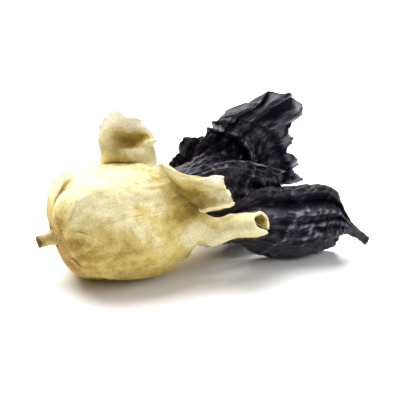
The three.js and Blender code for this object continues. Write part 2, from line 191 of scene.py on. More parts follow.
def made(name):
    """Names the object that an operator has just added."""
    piece = bpy.context.object
    piece.name = name
    piece.data.name = name
    return piece


def points_of(piece):
    flat = np.empty(len(piece.data.vertices) * 3)
    piece.data.vertices.foreach_get("co", flat)
    return flat.reshape(-1, 3)


def move_points(piece, points):
    piece.data.vertices.foreach_set("co", points.ravel())
    piece.data.update()


def add_mask(piece, name, values):
    """Stores a number for each point of a piece, which its material reads."""
    layer = piece.data.attributes.new(name, "FLOAT", "POINT")
    layer.data.foreach_set("value", values.astype(np.float32))


def sheet(name, rows, columns, shape):
    """A grid bent to a shape: a function of u from 0 to 1 along it and v from -1 to 1 across it, which gives
    the points in mm and the masks that the sheet's material reads."""
    nothing_selected()
    bpy.ops.mesh.primitive_grid_add(x_subdivisions=columns, y_subdivisions=rows, size=2)
    piece = made(name)
    v, y, _ = points_of(piece).T
    points, masks = shape((y + 1) / 2, v)
    move_points(piece, points * MM)
    for mask_name, values in masks.items():
        add_mask(piece, mask_name, values)
    return piece


def joined(name, parts, merge_distance):
    """Joins pieces into one and merges the borders that they share."""
    select_only(*parts)
    bpy.ops.object.join()
    piece = made(name)
    bpy.ops.object.mode_set(mode="EDIT")
    bpy.ops.mesh.select_all(action="SELECT")
    bpy.ops.mesh.remove_doubles(threshold=merge_distance * MM)
    bpy.ops.object.mode_set(mode="OBJECT")
    return piece


def thickened(piece, thickness, outer, inner):
    """Gives a sheet its thickness, one material outside and on the rim, and another inside."""
    for material in (inner, outer):
        piece.data.materials.append(material)
    select_only(piece)
    solidify = piece.modifiers.new("thickness", "SOLIDIFY")
    solidify.thickness = thickness * MM
    solidify.offset = 0
    solidify.material_offset = 1
    solidify.material_offset_rim = 1
    bpy.ops.object.modifier_apply(modifier=solidify.name)
    bpy.ops.object.shade_smooth()
    return piece


def dressed(piece, slot, node, *materials):
    """Gives a finished piece its place in the frame and any materials given, and hides the solid it
    replaces.
    """
    for material in materials:
        piece.data.materials.append(material)
    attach(piece, "root")
    if node:
        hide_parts(node)
    return piece


# Calyx cup

CUP_PROFILE = [
    [-5.6, 1.3],
    [-5.3, 3.2],
    [-4.2, 4.7],
    [-1.4, 5.65],
    [1.5, 5.6],
    [4.0, 4.95],
    [MOUTH_AT, 4.1],
]
SEPAL_HALF_TURN = math.radians(36)

# Ribs and uneven drying of the wall: waves round it, how far they turn, phase in radians, share of radius.
WAVES = [
    (5, 0, math.pi / 2 - 5 * math.radians(42), 0.03),
    (3, 4, 1, 0.018),
    (7, -5, 0, 0.012),
]

# Where the wall sank in or bulged: place from base to mouth, turn in degrees, depth and reach in mm.
DENTS = [
    (0.92, -155, -2.9, 5),
    (1.0, -62, 0.75, 3.2),
    (0.62, -50, 0.3, 2.0),
    (0.45, -110, 0.35, 2.4),
    (0.7, 10, 0.3, 1.8),
    (0.55, 80, 0.4, 2.6),
    (0.6, 150, 0.3, 2.2),
]


def half_turn_from(turn, middle):
    """Half the angle between a turn and a middle given in degrees, whichever way round is shorter."""
    return np.arcsin(np.sin((turn - math.radians(middle)) / 2))


def dent_at(g, turn):
    wall_length = 12
    wall_width = 10
    depth = np.zeros_like(g)
    for place, middle, deep, reach in DENTS:
        along_wall = wall_length * (g - place)
        round_wall = wall_width * half_turn_from(turn, middle)
        depth += deep * np.exp(-(along_wall**2 + round_wall**2) / reach**2)
    return depth


def pressed_flat(z, lowest, softness=0.25):
    """Holds a height above the surface that the flower lies on."""
    return lowest + softness * np.logaddexp(0, (z - lowest) / softness)


def cup_points(g, turn, offset, lowest):
    """Points of the calyx wall. g runs from 0 at the base to 1 at the mouth and on along a straight lobe."""
    lobe_taper = 1.2
    step = 0.02
    share = np.minimum(g, 1)
    beyond = np.maximum(g - 1, 0)
    along, radius = through(CUP_PROFILE, share).T
    wavy = sum(depth * np.sin(waves * turn + twist * share + phase) for waves, twist, phase, depth in WAVES)
    shape = 1 + smoothstep(share, 0, 0.4) * wavy
    ahead = through(CUP_PROFILE, np.minimum(share + step, 1))
    behind = through(CUP_PROFILE, np.maximum(share - step, 0))
    slope_along, slope_out = unit(ahead - behind).T
    points = about_axis(
        along + LOBE_LENGTH * beyond - slope_out * offset,
        radius * shape - dent_at(share, turn) - lobe_taper * beyond + slope_along * offset,
        turn,
    )
    points[:, 2] = pressed_flat(points[:, 2], lowest)
    return points


def on_wall(g, turn, stretch):
    """Coordinates for noise on the wall, in mm, drawn out along it by a stretch."""
    along, radius = through(CUP_PROFILE, np.minimum(g, 1)).T
    along = (along + LOBE_LENGTH * np.maximum(g - 1, 0)) / stretch
    return np.stack([along, radius * np.cos(turn), radius * np.sin(turn)], axis=1)


def wall_wrinkles(g, turn):
    return ridged(on_wall(g, turn, 1.5) * 0.5, 3)


def wall_puckers(g, turn, closeness):
    return fractal(on_wall(g, turn, 1.3) * closeness, 5)


# Sepals in the order that they stand round the mouth: where the next one parts from it, how many degrees
# their border has turned aside there, how far its sides roll up, what is missing at its tip (depth, place
# and reach across), and the cross-sections of its free part.
SEPALS = [
    {
        "turn": -174,
        "parts_at": 1.15,
        "drift": 0,
        "roll": 0.2,
        "cut": (0.0, 0.0, 1.0),
        "lobe": [
            section((9.8, -0.2, 2.7), (0, -1, 0.1), 2.7, curl=-0.6),
            section((11.8, 0.2, 2.2), (0, -1, 0), 2.0, curl=-0.4),
            section((13.4, 0.4, 2.0), (0, -1, -0.1), 0.5, curl=-0.2),
        ],
    },
    {
        "turn": -102,
        "parts_at": 1.3,
        "drift": -20,
        "roll": -0.1,
        "cut": (0, 0, 1),
        "lobe": [
            section((9.8, -5.4, 5.2), (0, -0.2, 1), 1.5, curl=-1.1),
            section((13.2, -5.9, 6.1), (0.1, 0.1, 1), 2.2, curl=-2.1),
            section((16.1, -6.6, 8.1), (0.4, 0.76, 0.1), 3.7, curl=-3.0),
        ],
    },
    {
        "turn": -30,
        "parts_at": 0.95,
        "drift": 0,
        "roll": 0.15,
        "cut": (0.06, 0.5, 0.4),
        "lobe": [
            section((8.4, -3.3, 10.3), (-0.1, 0.5, 0.85), 3.8, curl=1.4),
            section((11.0, -4.2, 10.6), (-0.1, 0.3, 0.95), 3.2, curl=1.5),
            section((13.5, -4.4, 10.6), (-0.3, 0.2, 0.93), 2.0, curl=1.0),
        ],
    },
    {
        "turn": 42,
        "parts_at": 0.48,
        "drift": 0,
        "roll": -0.25,
        "cut": (0.2, 0.0, 0.4),
        "lobe": [
            section((3.9, 2.5, 12.5), (-0.85, 0.52, 0), 3.0, curl=0.0),
            section((4.1, 4.1, 13.8), (-0.9, 0.4, 0.05), 3.4, curl=1.1),
            section((4.8, 4.3, 15.9), (-0.9, 0.4, 0.25), 4.3, curl=1.5),
            section((5.3, 3.4, 17.5), (-0.8, 0.34, 0.4), 4.0, curl=1.5),
        ],
    },
    {
        "turn": 114,
        "parts_at": 0.9,
        "drift": 0,
        "roll": 0.3,
        "cut": (0.0, 0.0, 1.0),
        "lobe": [
            section((9.9, 5.6, 6.2), (0, -0.3, -0.95), 2.7, curl=0.2),
            section((12.6, 6.9, 5.7), (0, -0.1, -1), 2.1, curl=0.7),
            section((15.0, 7.8, 4.9), (0, 0, -1), 0.5, curl=0.4),
        ],
    },
]

# Hollows of the dried calyx, and the shade and light painted on its felt: place from 0 at the base to 1 at
# the mouth and 2 at the tip, turn in degrees, reach along (in places) and round (in degrees), depth in mm,
# and how dark the felt is painted as shade there, in the hollows and on the back, or below 0 how pale it is
# painted as light, on lit rims and lobes.
HOLLOWS = [
    (1.5, 34, 0.27, 23, 1.0, 1.1),
    (0.92, 34, 0.1, 10, 0.4, 0.3),
    (1.75, 60, 0.3, 26, 0, -1.3),
    (1.86, 20, 0.14, 24, 0, -1.2),
    (1.16, 34, 0.08, 16, -0.35, -0.4),
    (1.38, -54, 0.27, 29, 0.5, 1.6),
    (1.22, -92, 0.24, 12, 0.5, 1.3),
    (1.4, -112, 0.4, 18, -0.2, -1.0),
    (0.42, -96, 0.3, 32, 0, 0.12),
    (0.55, -20, 0.25, 30, 0, -0.35),
    (0.12, -75, 0.1, 16, 0.3, 0.7),
    (0.3, -76, 0.07, 10, 0.15, 0.8),
    (0.24, -42, 0.07, 9, 0.2, 0.6),
    (0.32, -98, 0.05, 7, 0.2, 0.7),
    (0.2, -120, 0.06, 10, 0.2, 0.5),
    (0.6, 122, 0.9, 46, 0, 0.25),
    (1.6, 110, 0.5, 50, 0, 0.2),
]


def hollow_at(g, turn):
    """Depth of the hollows, and how dark the painted shade makes the felt there, or below 0 how pale the
    painted light.
    """
    depth = np.zeros_like(g)
    shade = np.zeros_like(g)
    for place, middle, reach_along, reach_round, deep, painted_shade in HOLLOWS:
        away_along = (g - place) / reach_along
        away_round = 2 * half_turn_from(turn, middle) / math.radians(reach_round)
        near = np.exp(-(away_along**2 + away_round**2))
        depth += deep * near
        shade += painted_shade * near
    return depth, np.clip(shade, -1, 1)


def sepal_veins(g, v):
    """How close a point is to a vein: a midrib and two pairs that run from the base and meet at the tip."""
    places_and_strengths = ((0, 1.0), (0.36, 0.7), (-0.36, 0.7), (0.74, 0.5), (-0.74, 0.5))
    width = 0.045
    wander = 0.03
    closing = 1 - 0.75 * smoothstep(g, 1.0, 2.0)
    nearest = np.zeros_like(g)
    for place, strength in places_and_strengths:
        away = (v - place * closing + wander * np.sin(9 * g + 20 * place)) / width
        nearest = np.maximum(nearest, strength * np.exp(-(away**2)))
    return nearest


def painted_underside_shade(points):
    """How far round a point lies to the side of the flower that faces the surface it rests on, painted as
    shade.
    """
    all_below = 2.5
    none_above = 11.5
    return 1 - smoothstep(points[:, 2], all_below, none_above)


def sections_on_cup(middle, places, resting_height):
    """The cross-sections of a sepal where it is part of the cup."""
    sections = []
    for g in places:
        at = cup_points(np.array([g]), np.array([middle]), 0.0, resting_height)[0]
        half_width = through(CUP_PROFILE, np.array([g]))[0, 1] * SEPAL_HALF_TURN
        across = radial(np.float64(middle + math.pi / 2))
        sections.append(section(at, across, half_width, curl=-SEPAL_HALF_TURN))
    return sections


def sepal_shape(sepal, before):
    """The shape of one sepal, which shares a border with the one before it."""
    lobe_rows = 6
    resting_height = 1.0
    wall_middle = 0.12
    parting_length = 0.2
    blend_length = 0.35
    notch = 0.07
    wrinkle_height = 0.1
    pucker_height = 0.2
    vein_height = 0.05
    wave_height = 0.25
    nibbled = 0.02
    first = 1 / 3
    middle = math.radians(sepal["turn"])
    on_cup = sections_on_cup(middle, (first, 2 / 3, 1.0), resting_height)
    sections = on_cup[: lobe_rows - len(sepal["lobe"])] + sepal["lobe"]

    def shape(u, v):
        g = 2 * u
        parts_here = before["parts_at"] + (sepal["parts_at"] - before["parts_at"]) * (v + 1) / 2
        drift = before["drift"] + (sepal["drift"] - before["drift"]) * (v + 1) / 2
        drift = np.radians(drift) * smoothstep(g, 0.6, 1.2)
        parted = smoothstep(g, parts_here, parts_here + parting_length)
        free = smoothstep(g, parts_here, parts_here + blend_length)
        turn = middle + drift + SEPAL_HALF_TURN * v * (1 - notch * parted)
        veins = sepal_veins(g, v)
        wrinkles = wall_wrinkles(g, turn)
        puckers = wall_puckers(g, turn, 0.6)
        hollow, shade = hollow_at(g, middle + drift + SEPAL_HALF_TURN * v)
        raised = wrinkle_height * wrinkles + pucker_height * puckers + vein_height * veins
        out = wall_middle + raised - hollow
        on_wall_points = cup_points(g, turn, out, resting_height - wall_middle)
        tip = smoothstep(g, 1.0, 2.0)
        rim = np.maximum(np.abs(v) ** 5, tip**6) * free
        waved = wave_height * rim * np.sin(7 * v + 9 * g + middle) + sepal["roll"] * rim
        uneven = fractal(np.stack([4 * g, 3 * v, 0 * g + middle], axis=1), 7)
        edge = 1 - nibbled * (1 + uneven) * free
        cut, cut_at, cut_reach = sepal["cut"]
        cut_back = cut * tip * np.exp(-(((v - cut_at) / cut_reach) ** 2))
        on_lobe_points = sheet_points(
            sections,
            (g - cut_back - first) / (2 - first) * (1 - 0.5 * (1 - edge) * tip),
            v * edge,
            lift=out + waved,
        )
        points = on_wall_points + free[:, None] * (on_lobe_points - on_wall_points)
        stub_side = 1 - smoothstep(g, 0.05, 0.5)
        crest_painted_light = np.clip(wrinkles, -1, 1)
        # Painted light and shade in the felt's colour: the crest mask pales wrinkle crests and darkens their
        # troughs, the rim mask is a painted highlight on the lobes' edges, the hollow mask painted shade in
        # hollows and painted light on lit patches, and the underside mask painted shade below.
        masks = {"vein": veins, "rim": rim, "stub_side": stub_side, "crest_painted_light": crest_painted_light}
        return points, {**masks, "hollow": shade, "painted_underside_shade": painted_underside_shade(points)}

    return shape


def make_calyx(felt, lining):
    rows = 120
    columns = 54
    sepals = [
        sheet("sepal", rows, columns, sepal_shape(sepal, SEPALS[i - 1]))
        for i, sepal in enumerate(SEPALS)
    ]
    calyx = joined("calyx_felted", sepals, 0.01)
    return dressed(thickened(calyx, CALYX_THICKNESS, felt, lining), "calyx_felt", "calyx")


# Bracts of the outer whorl: the turn of each middle in degrees, its length as a share of the usual, and how
# far its tip stands off.
BRACTS = [
    (-28, 0.95, 0.12),
    (16, 1.08, 1.15),
    (76, 0.95, 0.4),
    (129, 0.9, 0.2),
    (181, 1.5, 0.0),
    (230, 0.82, 0.1),
    (282, 1.02, 0.05),
]


def bract_shape(index):
    reach_on_cup = 0.44
    joined_share = 0.42
    tip_width = 0.03
    split_width = 0.05
    clear_of_cup = 0.42
    pucker_height = 0.1
    midrib_height = 0.04
    side_sunk = 0.15
    turn, length, lift = BRACTS[index]

    def shape(u, v):
        after = BRACTS[(index + 1) % len(BRACTS)][0]
        before = BRACTS[index - 1][0]
        gap = np.where(v > 0, (after - turn) % 360, (turn - before) % 360)
        split = u > joined_share
        free = np.maximum(u - joined_share, 0) / (1 - joined_share)
        ragged = 0.07 * fractal(np.stack([5 * u, 1.0 * (v > 0), 0 * u + index], axis=1), 13) * split
        width = 1 - split_width * split - (1 - split_width - tip_width) * free**1.9 + ragged * (1 - free)
        edge = np.where(split, math.pi / len(BRACTS), np.radians(gap / 2))
        reach = reach_on_cup * u * (1 + (length - 1) * free)
        at_turn = math.radians(turn) + edge * v * width
        wrinkles = wall_wrinkles(reach, at_turn)
        puckers = wall_puckers(reach, at_turn, 0.8)
        midrib = np.exp(-((v / 0.08) ** 2)) * (1 - free)
        rim = np.maximum(np.abs(v) ** 6, free**8) * split
        hollow, shade = hollow_at(reach, at_turn)
        sunk = side_sunk * np.maximum(np.abs(v) ** 4 * split, free**4)
        raised = pucker_height * puckers + midrib_height * midrib + lift * free**2
        out = clear_of_cup - sunk + raised - hollow
        points = cup_points(reach, at_turn, out, BRACT_THICKNESS / 2)
        stub_side = 1 - smoothstep(reach, 0.02, 0.4)
        crest_painted_light = np.clip(wrinkles, -1, 1)
        # Painted light and shade as on the sepals: crests paler and troughs darker, a weak painted highlight
        # on the rim, and painted shade in hollows and below.
        masks = {"vein": midrib, "rim": 0.2 * rim, "stub_side": stub_side, "crest_painted_light": crest_painted_light}
        return points, {**masks, "hollow": shade, "painted_underside_shade": painted_underside_shade(points)}

    return shape


def make_bracts(felt):
    rows = 44
    columns = 26
    bracts = [sheet("bract", rows, columns, bract_shape(index)) for index in range(len(BRACTS))]
    whorl = joined("bract_whorl", bracts, 0.01)
    return dressed(thickened(whorl, BRACT_THICKNESS, felt, felt), "bract_felt", "epicalyx")


# Turned pieces

def onto_axis():
    """Turns a shape made round the Z axis so that it stands on the flower's own axis."""
    place = np.eye(4)
    place[:3, :3] = np.stack([SIDE_ACROSS, UP_ACROSS, AXIS], axis=1)
    place[:3, 3] = BODY_CENTRE * MM
    return Matrix(place)


def turned(name, profile, segments):
    """Extrudes a circle ring by ring along a profile of radius and height, closed at both ends."""
    nothing_selected()
    radius, along = profile[0]
    bpy.ops.mesh.primitive_circle_add(
        vertices=segments, radius=radius * MM, fill_type="NGON", location=(0, 0, along * MM)
    )
    piece = made(name)
    bpy.ops.object.transform_apply(location=True)
    bpy.ops.object.mode_set(mode="EDIT")
    bpy.ops.mesh.select_all(action="SELECT")
    for (radius_before, along_before), (radius, along) in zip(profile, profile[1:]):
        bpy.ops.mesh.extrude_region_move(
            TRANSFORM_OT_translate={"value": (0, 0, (along - along_before) * MM)}
        )
        grown = radius / radius_before
        bpy.ops.transform.resize(value=(grown, grown, 1), center_override=(0, 0, along * MM))
    bpy.ops.mesh.select_all(action="SELECT")
    bpy.ops.mesh.normals_make_consistent(inside=False)
    bpy.ops.object.mode_set(mode="OBJECT")
    return piece


def roughened(piece, depth, scale, seed):
    """Moves a piece's points out from the axis by noise drawn out along it."""
    points = points_of(piece)
    swell = fractal(points * (scale * 3, scale * 3, scale), seed)
    points[:, :2] *= 1 + depth * swell[:, None]
    move_points(piece, points)


def make_stub(bark):
    """The stub of the stalk, hollow at its cut end, and the receptacle inside the calyx."""
    wall = [(1.0, -5.3), (0.94, -6.0), (0.8, -6.6), (0.7, -7.2), (0.66, -7.7), (0.68, -8.0)]
    cut = [(0.62, STUB_END_AT), (0.48, -8.06), (0.4, -7.92), (0.36, -7.7), (0.3, -7.4), (0.05, -7.3)]
    seat = [(0.05, -4.5), (2.2, -4.6), (2.25, -4.9), (2.0, -5.1)]
    browned_to = -7.4
    stub = turned("stub", [*seat, *wall, *cut], segments=40)
    roughened(stub, depth=0.12, scale=500, seed=21)
    add_mask(stub, "cut", 1 - smoothstep(points_of(stub)[:, 2] / MM, STUB_END_AT, browned_to))
    stub.data.transform(onto_axis())
    select_only(stub)
    bpy.ops.object.shade_smooth_by_angle(angle=math.radians(55))
    return dressed(stub, "stalk", "pedicel", bark)


def make_column(papery):
    """The tube of joined filaments over the ovary, with the anthers round its upper part."""
    base = [(2.7, -4.15), (2.5, -3.2), (1.7, -2.2), (0.95, -1.4), (0.78, -0.4)]
    stem = [(0.7, 1.0), (0.68, 3.0), (0.64, 5.0), (0.58, 7.0), (0.4, 7.9), (0.05, 8.1)]
    anthers = 64
    anther_radius = 0.3
    anthers_from = 2.3
    anthers_length = 5.6
    reach_below = 1.15
    reach_less_above = 0.35
    unevenness = 0.12
    golden_turn = math.radians(137.5)
    tube = turned("tube", [*base, *stem], segments=28)
    roughened(tube, depth=0.1, scale=400, seed=23)
    draws = np.random.default_rng(SEED)
    parts = [tube]
    for i in range(anthers):
        share = i / (anthers - 1)
        turn = i * golden_turn
        uneven = draws.uniform(-unevenness, unevenness)
        reach = (reach_below - reach_less_above * share + uneven) * MM
        along = (anthers_from + anthers_length * share) * MM
        nothing_selected()
        bpy.ops.mesh.primitive_ico_sphere_add(
            subdivisions=2,
            radius=anther_radius * MM,
            location=(reach * math.cos(turn), reach * math.sin(turn), along),
            rotation=(draws.uniform(0, 3), draws.uniform(0, 3), draws.uniform(0, 3)),
            scale=(1.25, 0.7, 0.8),
        )
        parts.append(made("anther"))
    select_only(*parts)
    bpy.ops.object.join()
    bpy.ops.object.transform_apply(location=True, rotation=True, scale=True)
    bpy.ops.object.shade_smooth()
    column = made("stamens_dry")
    column.data.transform(onto_axis())
    return dressed(column, "stamens", "stamen_column", papery)


# Petals in the order that they stand round the column. waves is how many pleats cross one, and phase shifts
# them. margin is how far the petal reaches along its length, at equal steps across it, ruffle how far its
# margin is waved, and crumpled how deep the creases are, in mm. Bends cross the pleats: places along at the
# first and last side, and height in mm. Furrows run along: place across, height in mm, reach across. Painted
# glints are spots painted paler as highlights: place along and across, reach along and across, and how pale.
PETALS = [
    {
        "name": "petal_1",
        "turn": 15,
        "waves": 4.5,
        "phase": 0.4,
        "margin": [0.98, 0.92, 0.89, 0.89, 0.9, 0.93, 0.97, 1.0, 0.96, 0.95, 0.93],
        "ruffle": 0.4,
        "crumpled": 0.17,
        "bends": [(0.71, 0.78, 0.6), (0.9, 0.83, 0.25)],
        "furrows": [],
        "painted_highlights": [],
        "free": [
            section((11.4, 1.1, 11.1), (-0.2, 0.95, 0), 1.7, 0.1, -0.4, 0.1),
            section((15.9, 1.7, 11.7), (-0.6, 0.4, 0.7), 3.8, 0.7, 0, 0.3),
            section((19.9, 1.8, 13.6), (-0.6, 0.15, 0.8), 6.6, 1.2, 0.2, 0.4),
            section((26.0, 2.0, 15.4), (-0.5, 0.1, 0.85), 9.4, 1.5, 0.2, 0.4),
        ],
    },
    {
        "name": "petal_2",
        "turn": 87,
        "waves": 4,
        "phase": 1.7,
        "margin": [0.62, 0.66, 0.74, 0.86, 0.97, 1.0, 0.95, 0.98, 0.93, 0.9, 0.82],
        "ruffle": 0.4,
        "crumpled": 0.28,
        "bends": [(0.84, 0.7, 0.3)],
        "furrows": [],
        "painted_highlights": [],
        "free": [
            section((10.0, 3.9, 9.1), (0, 0.1, -1), 2.1, 0.4, -0.3, 0.1),
            section((13.6, 4.5, 10.0), (0, 0.1, -1), 4.6, 1.0, 0.2, 0.4),
            section((17.0, 5.0, 10.6), (0, 0.1, -1), 6.0, 1.4, -0.1, 0.6),
            section((20.6, 5.1, 11.2), (0, 0, -1), 7.0, 1.4, -0.3, 0.7),
        ],
    },
    {
        "name": "petal_3",
        "turn": 159,
        "waves": 3.5,
        "phase": 2.9,
        "margin": [0.85, 0.93, 0.9, 0.97, 1.0, 0.95, 0.97, 0.9, 0.93, 0.87, 0.8],
        "ruffle": 0.4,
        "crumpled": 0.28,
        "bends": [(0.72, 0.8, 0.25)],
        "furrows": [],
        "painted_highlights": [],
        "free": [
            section((11.4, 1.5, 4.4), (0, -0.9, -0.3), 2.1, 0.1, -0.3, 0.1),
            section((15.2, 1.7, 2.0), (0, -0.95, -0.2), 3.2, 0.4, -0.3, 0.3),
            section((19.8, 2.8, 1.1), (0, -0.95, -0.1), 4.0, 0.7, -0.4, 0.5),
            section((24.2, 3.4, 0.35), (0, -0.95, -0.2), 4.4, 0.9, -0.5, 0.6),
        ],
    },
    {
        "name": "petal_4",
        "turn": 231,
        "waves": 3,
        "phase": 0.9,
        "margin": [1.0] * 11,
        "ruffle": 0,
        "crumpled": 0.22,
        "bends": [(0.48, 0.68, 0.15), (0.82, 0.6, 0.2)],
        "furrows": [(0.64, -0.8, 0.1), (0.34, 0.3, 0.07), (0.1, 0.25, 0.05), (-0.15, 0.4, 0.2)],
        "painted_highlights": [
            (0.64, 0.05, 0.08, 0.4, 0.28),
            (0.665, 0.0, 0.016, 0.07, 1.3),
            (0.632, 0.4, 0.014, 0.05, 1.0),
            (0.69, -0.12, 0.012, 0.04, 1.0),
        ],
        "free": [
            section((12.6, -2.6, 5.4), (0, -0.4, 0.9), 1.9, 0, -0.3, 0.1),
            section((17.6, -4.0, 4.8), (0, -0.1, 1), 4.7, 0.2, -0.6, 0.4),
            section((22.0, -4.8, 4.3), (0, 0, 1), 5.3, 0.3, -0.8, 0.6),
            section((26.0, -5.1, 4.4), (-0.05, 0, 1), 4.7, 0, -1.0, 0.5),
            section((27.7, -5.2, 3.8), (0.2, 0, 0.95), 1.2, 0, -0.8, 0),
            section((30.2, -5.0, 1.5), (0.4, 0, 0.9), 0.4, 0, -0.4, 0),
        ],
    },
    {
        "name": "petal_5",
        "turn": 303,
        "waves": 3,
        "phase": 2.2,
        "margin": [0.9, 0.95, 0.97, 0.97, 0.95, 0.92, 0.9, 0.9, 0.9, 0.93, 0.88],
        "ruffle": 0.4,
        "crumpled": 0.28,
        "bends": [(0.7, 0.78, 0.3)],
        "furrows": [],
        "painted_highlights": [],
        "free": [
            section((10.9, -2.5, 10.2), (0, 0.4, 0.9), 1.9, 0.1, -0.3, 0.1),
            section((14.8, -2.1, 10.0), (0.1, 0.2, 0.95), 2.6, 0.2, -0.2, 0.3),
            section((18.6, -1.8, 8.4), (0.3, 0, 0.95), 3.2, 0.4, 0.1, 0.5),
            section((22.2, -1.8, 6.6), (0.45, -0.1, 0.85), 3.2, 0.6, 0.2, 0.5),
        ],
    },
]


def petal_shape(petal, seed, grid):
    """The shape of one petal, whose points make up a grid of this many rows and columns."""
    middle = math.radians(petal["turn"])
    claw = ring_section(PETAL_SEAT_AT, 3.25, middle, 0.9)
    throat = ring_section(1.0, 3.5, middle, 1.4)
    mouth = ring_section(MOUTH_AT, 2.5, middle, 1.4)
    sections = [claw, throat, mouth, *petal["free"]]
    phase = petal["phase"]
    ruffle = petal["ruffle"]
    nicked = 0.02
    bitten = 0.03
    round_share = 0.55
    sharp_share = 0.45
    fold_in_crest = 0.5
    crepe_share = 0.4
    fine_share = 0.3
    ray_height = 0.05
    nerve_height = 0.02
    bend_width = 0.5
    trough_width = 0.6
    trough_after = 0.9
    trough_share = 0.8

    def noise_at(x, y):
        """This petal's own part of the noise."""
        return np.stack([x, y, 0 * x + seed], axis=1)

    def outlined(row, v):
        """How far along and across the petal its points come to lie, and how far it has opened there."""
        frayed = fractal(noise_at(9 * v, 0 * v), seed + 1, 5)
        reach = through(np.array(petal["margin"])[:, None], (v + 1) / 2)[:, 0]
        shorter = 1 - reach + nicked * (frayed if ruffle else 0)
        u = row * (1 - shorter * smoothstep(row, 0.3, 1))
        opened = smoothstep(u, 0.3, 0.6)
        bites = 1 + fractal(noise_at(14 * u, 1.0 * (v > 0)), seed + 2, 4)
        return u, v * (1 - bitten * bites * opened * np.abs(v) ** 3), opened

    def shape(row, v):
        row = row**0.8
        u, v_edge, opened = outlined(row, v)
        half_width = through(sections, u)[:, 6]
        across = v_edge * half_width
        along = u * PETAL_LENGTH
        warp = fractal(noise_at(across * 0.25, along * 0.12), seed + 3)
        pleat = petal["waves"] * v / 2 + phase / (2 * math.pi) + 1.3 * u / (2 * math.pi) + 0.1 * warp
        fold = round_share * np.sin(2 * math.pi * pleat) - sharp_share * zigzag(pleat - 0.25)
        margin = smoothstep(row, 0.78, 1)
        lift = ruffle * (margin * np.sin(9 * v + 2 * phase) - 0.6 * margin**2)
        rays = crumple(v_edge + 0.05 * warp, 0 * v, seed + 7, waves=6, spacing=0.3, spread=0.0)
        creases = crumple(across + 0.5 * warp, along, seed + 4, waves=7, spacing=2.4, spread=0.35)
        crepe = ridged(noise_at(across * 0.7, along * 0.3), seed + 5)
        fine = crumple(across, along, seed + 6, waves=9, spacing=0.8, spread=0.8)
        nerves = np.sin(across * 5.5 + 1.2 * warp) * (1 - 0.4 * margin)
        crumpled = petal["crumpled"] * (creases + crepe_share * crepe + fine_share * fine)
        relief = ray_height * (rays * half_width) + crumpled + nerve_height * nerves
        for at_first, at_last, height in petal["bends"]:
            bend_at = PETAL_LENGTH * (at_first + (at_last - at_first) * (v + 1) / 2)
            past_bend = along - bend_at - 0.5 * warp
            ridge = np.exp(-((past_bend / bend_width) ** 2))
            trough = np.exp(-(((past_bend + trough_after) / trough_width) ** 2))
            relief += height * (ridge - trough_share * trough)
        for furrow_at, height, reach in petal["furrows"]:
            relief += height * np.exp(-(((v - furrow_at) / reach) ** 2)) * smoothstep(half_width, 0.8, 3)
        lift = lift + relief * (opened + 0.25)
        points = sheet_points(sections, u, v_edge, fold, lift)
        points[:, 2] = np.maximum(points[:, 2], PETAL_THICKNESS / 2)
        # The crest mask paints highlights on raised creases and folds, and the listed glint spots add
        # painted highlights to it.
        crest_painted_light = crests(relief + fold_in_crest * fold, grid, reach=2)
        for u_at, v_at, u_reach, v_reach, pale in petal["painted_highlights"]:
            crest_painted_light += pale * np.exp(-(((u - u_at) / u_reach) ** 2) - ((v - v_at) / v_reach) ** 2)
        edge = np.maximum(smoothstep(row, 0.96, 1), smoothstep(np.abs(v), 0.95, 1) * opened)
        return points, {"crest_painted_light": crest_painted_light, "edge": edge}

    return shape


def make_petals(crepe):
    rows = 168
    columns = 104
    grid = (rows + 1, columns + 1)
    for i, petal in enumerate(PETALS):
        piece = sheet(petal["name"] + "_dry", rows, columns, petal_shape(petal, SEED + 10 * i, grid))
        dressed(thickened(piece, PETAL_THICKNESS, crepe, crepe), "petal", petal["name"])


# Hairs

def make_tuft():
    """One star of hairs, pointing up Z: three-sided rays that lean out from its middle."""
    rays = 6
    root_radius = 0.018
    lean = math.radians(62)
    every_other_less = 0.25
    parts = []
    for i in range(rays):
        nothing_selected()
        bpy.ops.mesh.primitive_cone_add(
            vertices=3, radius1=root_radius, radius2=0, depth=1, location=(0, 0, 0.5)
        )
        ray = made("ray")
        bpy.ops.object.transform_apply(location=True)
        turned_round = Matrix.Rotation(2 * math.pi * i / rays, 4, "Z")
        leaned = Matrix.Rotation(lean - every_other_less * (i % 2), 4, "Y")
        ray.data.transform(turned_round @ leaned)
        parts.append(ray)
    return joined("tuft", parts, 0)


def scattered(carrier, count, draws):
    """Places on a piece's outer side, where its last material is, even by area, and the normals there."""
    mesh = carrier.data
    mesh.calc_loop_triangles()
    corners = np.empty(len(mesh.loop_triangles) * 3, int)
    mesh.loop_triangles.foreach_get("vertices", corners)
    slots = np.empty(len(mesh.loop_triangles), int)
    mesh.loop_triangles.foreach_get("material_index", slots)
    outer = slots == len(mesh.materials) - 1
    a, b, c = points_of(carrier)[corners.reshape(-1, 3)[outer]].transpose(1, 0, 2)
    normals = np.cross(b - a, c - a)
    areas = np.linalg.norm(normals, axis=1)
    chosen = draws.choice(len(areas), count, p=areas / areas.sum())
    p, q = draws.random((2, count, 1))
    swap = p + q > 1
    p, q = np.where(swap, 1 - p, p), np.where(swap, 1 - q, q)
    places = a[chosen] + p * (b - a)[chosen] + q * (c - a)[chosen]
    return places, unit(normals[chosen])


